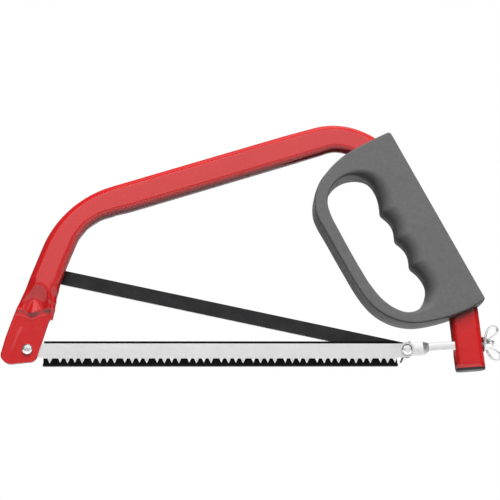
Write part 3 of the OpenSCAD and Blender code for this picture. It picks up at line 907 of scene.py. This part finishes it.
# ----------------------------------------
# Wood blade: a ground spring-steel strip with hardened, set teeth in groups of four. Each
# tooth is filed from one side and bent towards the other, and every group ends in a wide
# gullet that carries the dust out.
# ----------------------------------------
def ground_steel():
    material, tree, shader = finish_of("ground_strip_steel", {"Metallic": 0.6})
    spots = put(tree, "ShaderNodeTexCoord")
    stretched = put(tree, "ShaderNodeMapping", {"Vector": spots.outputs["Object"],
                                                "Scale": (30.0, 2500.0, 5200.0)})
    lines = put(tree, "ShaderNodeTexNoise", {"Vector": stretched.outputs["Vector"], "Scale": 1.0,
                                             "Detail": 6.0, "Roughness": 0.6})
    tone = two_tone(tree, mottle(tree, 30.0, 3.0), (0.66, 0.66, 0.67), (0.72, 0.72, 0.72))
    dress(tree, shader, tone, between(tree, lines.outputs["Fac"], 0.24, 0.44),
          lines.outputs["Fac"], 0.12, 2e-5)
    return material


def at_depth(points, y):
    """Points of the saw's plane as points in space."""
    return [Vector((p.x, y, p.y)) for p in points]


def flat_part(bm, front_loops, back_loops):
    """Closes a thin part from matching loops of points on its two faces; the first loop is
    the outline and the others are holes."""
    sides = []
    for loops in (front_loops, back_loops):
        rings = [[bm.verts.new(p) for p in loop] for loop in loops]
        for ring in rings:
            for k in range(len(ring)):
                bm.edges.new((ring[k], ring[(k + 1) % len(ring)]))
        fill_between(bm, *rings)
        sides.append(rings)
    for front_ring, back_ring in zip(*sides):
        join_rings(bm, front_ring, back_ring)
    bmesh.ops.recalc_face_normals(bm, faces=bm.faces)


BLADE_HALF_T, BLADE_EYE_R, FRONT_HOLE_R, REAR_HOLE_R, REAR_TRAVEL = 0.325, 6.35, 2.6, 2.3, 2
GULLET_Z, TOOTH_TALL, TOOTH_GROUP, TOOTH_SET = -7.1, 3.7, 25.6, 0.55
TOOTH_OFFSETS = (0.0, 5.8, 11.6, 17.4)
tooth_places = [(0.5 + TOOTH_GROUP * g + offset, i % 2) for g in range(12)
                for i, offset in enumerate(TOOTH_OFFSETS)]
tooth_places = [(x, away) for x, away in tooth_places if 15 < x < PIN_PITCH - 9]
# Half a tooth from its gullet to its tip: (half width, drop, filed in)
TOOTH_SHAPE = ((2.45, 0.0, 0.0), (2.02, 0.10, 0.25), (1.74, 0.42, 0.45), (0.34, 3.45, 0.30),
               (0.20, TOOTH_TALL, 0.12))
blade_faces = []
for y in (-BLADE_HALF_T, BLADE_HALF_T):
    loop = at_depth(arc((PIN_PITCH, 0), BLADE_EYE_R, 128.1, -90, 30), y)
    loop += [Vector((296, y, -BLADE_EYE_R)), Vector((295.6, y, GULLET_Z))]
    for x, away in reversed(tooth_places):
        filed = (y < 0) != bool(away)
        right = [(x + half - (file_in if filed else 0), drop)
                 for half, drop, file_in in TOOTH_SHAPE]
        left = [(x - half + (file_in if filed else 0), drop)
                for half, drop, file_in in reversed(TOOTH_SHAPE)]
        for px, drop in right + left:
            bend = (TOOTH_SET if away else -TOOTH_SET) * eased((drop - 0.5) / 3.0)
            loop.append(Vector((px, y + bend, GULLET_Z - drop)))
    loop += [Vector((12.4, y, GULLET_Z)), Vector((12, y, -BLADE_EYE_R))]
    loop += at_depth(arc((0, 0), BLADE_EYE_R, 270, 51.9, 24), y)
    front_eye = at_depth(arc((0, 0), FRONT_HOLE_R, 0, 350, 35), y)
    rear_slot = at_depth(arc((PIN_PITCH, 0), REAR_HOLE_R, -90, 90, 16)
                         + arc((PIN_PITCH - REAR_TRAVEL, 0), REAR_HOLE_R, 90, 270, 16), y)
    blade_faces.append([loop, front_eye, rear_slot])
strip_steel = ground_steel()
bm = bmesh.new()
flat_part(bm, *blade_faces)
wood_blade = link_mesh("wood_blade_strip", bm, strip_steel, 20)
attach(wood_blade, "frame")
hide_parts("wood_blade")

# ----------------------------------------
# Blade guard: a black extruded plastic strip, J-shaped in section, that is pushed up over
# the teeth. Its tall wall stands behind the blade and shows as a line above it.
# ----------------------------------------
guard_low_corner, guard_high_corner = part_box("blade_guard")
guard_black = grained_plastic("guard_black", (0.001, 0.001, 0.001), (0.002, 0.002, 0.002),
                              0.34, 0.50, 1.2, 0.25, 0.08)
to_saw = saw_frame.inverted()
near_end, far_end = to_saw @ guard_low_corner, to_saw @ guard_high_corner
GUARD_WALL, LIP_TALL, HEEL_R, GUARD_STEPS = 1.0, 2.0, 0.6, 40
LIP_Y, WALL_Y, LOW_Z, TOP_Z = near_end.y, far_end.y, near_end.z, far_end.z
LIP_IN_Y, WALL_IN_Y, LIP_Z = LIP_Y + GUARD_WALL, WALL_Y - GUARD_WALL, LOW_Z + LIP_TALL
heel = [math.radians(15 * k) for k in range(1, 6)]
outline = ([(LIP_Y, LIP_Z - 0.3), (LIP_Y, LOW_Z + HEEL_R)]
           + [(LIP_Y + HEEL_R - HEEL_R * math.cos(a), LOW_Z + HEEL_R - HEEL_R * math.sin(a))
              for a in heel]
           + [(LIP_Y + HEEL_R, LOW_Z), (WALL_Y - HEEL_R, LOW_Z)]
           + [(WALL_Y - HEEL_R + HEEL_R * math.sin(a), LOW_Z + HEEL_R - HEEL_R * math.cos(a))
              for a in heel]
           + [(WALL_Y, LOW_Z + HEEL_R), (WALL_Y, TOP_Z - 0.3), (WALL_Y - 0.2, TOP_Z),
              (WALL_IN_Y + 0.2, TOP_Z), (WALL_IN_Y, TOP_Z - 0.3),
              (WALL_IN_Y, LOW_Z + GUARD_WALL), (LIP_IN_Y, LOW_Z + GUARD_WALL),
              (LIP_IN_Y, LIP_Z - 0.3), (LIP_Y + 0.7, LIP_Z), (LIP_Y + 0.3, LIP_Z)])
bm = bmesh.new()
rings = skin(bm, [[(near_end.x + (far_end.x - near_end.x) * i / GUARD_STEPS, y, z)
                   for y, z in outline] for i in range(GUARD_STEPS + 1)])
fill_between(bm, rings[0])
fill_between(bm, rings[-1])
bmesh.ops.recalc_face_normals(bm, faces=bm.faces)
guard = link_mesh("tooth_guard", bm, guard_black, 50)
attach(guard, "guard")
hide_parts("blade_guard")

# ----------------------------------------
# Metal blade: a narrow flexible strip with fine wavy-set teeth along its lower edge,
# lacquered black over blued steel. It is stored behind the wood blade on the rear screw.
# ----------------------------------------
METAL_PITCH, METAL_HALF_W, METAL_Y, METAL_T, METAL_HOLE_R = 300.0, 6.1, 3.525, 0.65, 2.15
METAL_RISE, METAL_SKEW, FINE_PITCH, FINE_TALL, FINE_SET = 12.4, 0.8, 1.058, 0.75, 0.16
lacquer, tree, shader = finish_of("black_lacquer", {"Specular IOR Level": 0.18})
tone = two_tone(tree, mottle(tree, 12.0, 5.0), (0.011, 0.011, 0.012), (0.020, 0.020, 0.021))
worn = effect(tree, wear_group, {"Radius mm": 0.18, "Breakup mm": 1.5, "Amount": 0.5})
dress(tree, shader, two_tone(tree, worn, tone, (0.20, 0.20, 0.21)),
      between(tree, mottle(tree, 2.0, 6.0), 0.42, 0.62),
      effect(tree, grain_group, {"Grain mm": 0.5}), 0.2, 3e-5)

metal_frame = (at(PIN_PITCH, METAL_Y, 0)
               @ Matrix.Rotation(math.radians(METAL_RISE), 4, "Y")
               @ Matrix.Rotation(math.radians(-METAL_SKEW), 4, "Z"))
PLAIN_END = 8
metal_faces = []
for y in (0.0, METAL_T):
    loop = at_depth(arc((0, 0), METAL_HALF_W, 90, -90, 24), y)
    for i in range(int((METAL_PITCH - 2 * PLAIN_END) / FINE_PITCH)):
        x = -PLAIN_END - FINE_PITCH * i
        set_by = FINE_SET * math.sin(2 * math.pi * i / 8)
        loop.append(Vector((x, y, -METAL_HALF_W + FINE_TALL)))
        loop.append(Vector((x - 0.75 * FINE_PITCH, y + set_by, -METAL_HALF_W)))
    loop += at_depth(arc((-METAL_PITCH, 0), METAL_HALF_W, 270, 90, 24), y)
    holes = [at_depth(arc((x, 0), METAL_HOLE_R, 0, 350, 35), y) for x in (0, -METAL_PITCH)]
    metal_faces.append([[metal_frame @ p for p in points] for points in [loop] + holes])
bm = bmesh.new()
flat_part(bm, *metal_faces)
metal_blade = link_mesh("metal_blade_strip", bm, lacquer, 20)
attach(metal_blade, "stored_blade")
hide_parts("metal_blade")

# ----------------------------------------
# Draw bolt: forged steel, bright plated. A flat tongue with a round end carries the rear
# screw, a sloping shoulder joins it to a square shank that cannot turn in the tube's
# square hole, and the far end is threaded for the wing nut.
# ----------------------------------------
TONGUE_Y, TONGUE_T, TONGUE_HALF_H = 0.405, 3.0, 5.75
SHOULDER_X, SHANK_X, THREAD_X, BOLT_END = 13.5, 17.3, 45.6, 71.5
SHANK_HALF, THREAD_R = 3.5, 3.0


def bar_row(x, half_h, y_low, y_high, corner=0.45):
    """Rounded-rectangle section of the bolt at a place along it."""
    row = []
    middle_y, half_y = (y_low + y_high) / 2, (y_high - y_low) / 2
    corner = min(corner, half_h * 0.95, half_y * 0.95)
    for sy, sz, start in ((1, 1, 0), (-1, 1, 90), (-1, -1, 180), (1, -1, 270)):
        for k in range(5):
            a = math.radians(start + 22.5 * k)
            row.append(draw_frame @ Vector((
                x, middle_y + sy * (half_y - corner) + corner * math.cos(a),
                sz * (half_h - corner) + corner * math.sin(a))))
    return row


near_y, far_y = TONGUE_Y, TONGUE_Y + TONGUE_T
rows = [bar_row(-TONGUE_HALF_H * math.cos(a), TONGUE_HALF_H * math.sin(a), near_y, far_y, 0.35)
        for a in (math.radians(4 + 8.6 * k) for k in range(11))]
rows.append(bar_row(SHOULDER_X - 0.5, TONGUE_HALF_H, near_y, far_y, 0.35))
rows.append(bar_row(SHOULDER_X, TONGUE_HALF_H - 0.05, near_y - 0.02, far_y))
for t in (k / 6 for k in range(1, 7)):
    rows.append(bar_row(SHOULDER_X + (SHANK_X - SHOULDER_X) * t,
                        TONGUE_HALF_H + (SHANK_HALF - TONGUE_HALF_H) * t,
                        near_y + (-SHANK_HALF - near_y) * t, far_y + (SHANK_HALF - far_y) * t))
for x in (SHANK_X + 0.4, 24, 32, 40, THREAD_X - 0.5):
    rows.append(bar_row(x, SHANK_HALF, -SHANK_HALF, SHANK_HALF))
rows.append(bar_row(THREAD_X, SHANK_HALF - 0.5, -SHANK_HALF + 0.5, SHANK_HALF - 0.5, 0.5))
bm = bmesh.new()
skin(bm, rows, capped=True)
thread(bm, THREAD_R, 1.0, THREAD_X - 0.4, BOLT_END - THREAD_X + 0.4, draw_frame @ ALONG_X)
bmesh.ops.recalc_face_normals(bm, faces=bm.faces)
bright_forged = plated_steel("bright_forged", (0.86, 0.86, 0.87), (0.93, 0.93, 0.93), 0.26, 0.38,
                             1.1)
draw_bolt = link_mesh("tension_draw_bolt", bm, bright_forged, 20)
carve(draw_bolt, [peg(2.02, 12, at(PIN_PITCH, 2, 0) @ ALONG_Y)])
draw_bolt.data.shade_smooth()
draw_bolt.data.set_sharp_from_angle(angle=math.radians(20))
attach(draw_bolt, "draw_bolt")
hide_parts("draw_bolt")

rear_fixing = cross_screw("rear_pan_screw", at(PIN_PITCH, -0.355, 0) @ TOWARDS_VIEWER,
                          4.5, 2.4, 2.0, 11.8, 0.7, bright_zinc, 18)
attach(rear_fixing, "draw_bolt")
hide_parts("rear_blade_screw")

# ----------------------------------------
# Washers and wing nuts: the big nut pulls the draw bolt through the foot and so tensions
# the blade; the small one clamps the two blades on the rear screw. Its near-black colour is
# painted shade for the shadow it sits in behind the blades.
# ----------------------------------------
def washer(name, inner, outer, thick, place, material):
    bm = bmesh.new()
    turned(bm, [(inner, 0.15), (inner + 0.15, 0), (outer - 0.25, 0), (outer, 0.25),
                (outer, thick - 0.15), (outer - 0.15, thick), (inner + 0.15, thick),
                (inner, thick - 0.15)], place, 56, closed=True)
    return link_mesh(name, bm, material, 30)


def wing_nut(name, place, bore, hub_r, hub_h, wing_line, bar_half, thick_half, material):
    """A wing nut along its own z: a waisted hub and two open loops bent from flat bar."""
    bm = bmesh.new()
    turned(bm, [(bore, 0.25), (bore + 0.25, 0), (hub_r - 0.2, 0), (hub_r, 0.25),
                (hub_r, hub_h * 0.22), (hub_r * 0.86, hub_h * 0.42), (hub_r * 0.80, hub_h * 0.7),
                (hub_r * 0.80, hub_h - 0.3), (hub_r * 0.80 - 0.3, hub_h), (bore + 0.25, hub_h),
                (bore, hub_h - 0.25)], place, 48, closed=True)
    for side in (0, 180):
        spin = place @ Matrix.Rotation(math.radians(side), 4, "Z")
        line = closed_curve(vectors(*wing_line), bar_half * 0.55)
        normals = inward_normals(line, 3)
        rows = []
        for p, n in zip(line, normals):
            row = []
            for k in range(12):
                a = 2 * math.pi * k / 12
                u = bar_half * math.copysign(abs(math.cos(a)) ** 0.6, math.cos(a))
                v = thick_half * math.copysign(abs(math.sin(a)) ** 0.6, math.sin(a))
                row.append(spin @ Vector((p.x + n.x * u, v, p.y + n.y * u)))
            rows.append(row)
        skin(bm, rows, looped=True)
    bmesh.ops.recalc_face_normals(bm, faces=bm.faces)
    return link_mesh(name, bm, material, 40)


WALL_X, TENSION_WASHER_T = FOOT_X + TUBE_HALF_W, 1.2
# Near-black zinc: painted shade, a darkened copy of the plated steel for the blade wing nut that
# sits in shadow behind the blades
zinc_painted_shade = plated_steel("near_black_zinc_painted_shade", (0.10, 0.10, 0.105), (0.16, 0.16, 0.165), 0.32, 0.48)
plain_washer = washer("tension_flat_washer", 3.35, 6.2, TENSION_WASHER_T,
                      draw_frame @ at(WALL_X, 0, 0) @ ALONG_X, satin_zinc)
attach(plain_washer, "frame")
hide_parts("tension_washer")

REAR_WASHER_Y, BLADE_NUT_Y = 4.295, 5.325
rear_washer = washer("blade_flat_washer", 2.1, 5.0, 1.0,
                     at(PIN_PITCH, REAR_WASHER_Y, 0) @ ALONG_Y, satin_zinc)
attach(rear_washer, "blade_washer")
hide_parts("rear_washer")

tension_nut = wing_nut(
    "tension_wing_nut_loops", draw_frame @ at(WALL_X + TENSION_WASHER_T + 0.05, 0, 0) @ ALONG_X,
    3.03, 4.8, 6.0,
    ((4.0, 1.9), (8.6, 2.8), (12.6, 5.2), (14.2, 8.6), (13.0, 11.6), (10.3, 12.3), (7.4, 10.2),
     (5.0, 6.6), (3.7, 4.0)), 0.95, 0.95, bright_zinc)
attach(tension_nut, "tension_nut")
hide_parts("tension_wing_nut")

# The blade wing nut takes the near-black zinc, painted shade for its place behind the blades
blade_nut = wing_nut(
    "blade_wing_nut_loops",
    at(PIN_PITCH, BLADE_NUT_Y, 0) @ Matrix.Rotation(math.radians(-65), 4, "Y") @ ALONG_Y,
    2.03, 3.6, 4.2,
    ((2.9, 1.3), (5.6, 1.9), (8.2, 3.0), (9.3, 4.6), (8.2, 5.8), (6.2, 5.5), (4.2, 4.2),
     (2.8, 2.9)), 0.6, 0.75, zinc_painted_shade)
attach(blade_nut, "blade_nut")
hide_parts("blade_wing_nut")
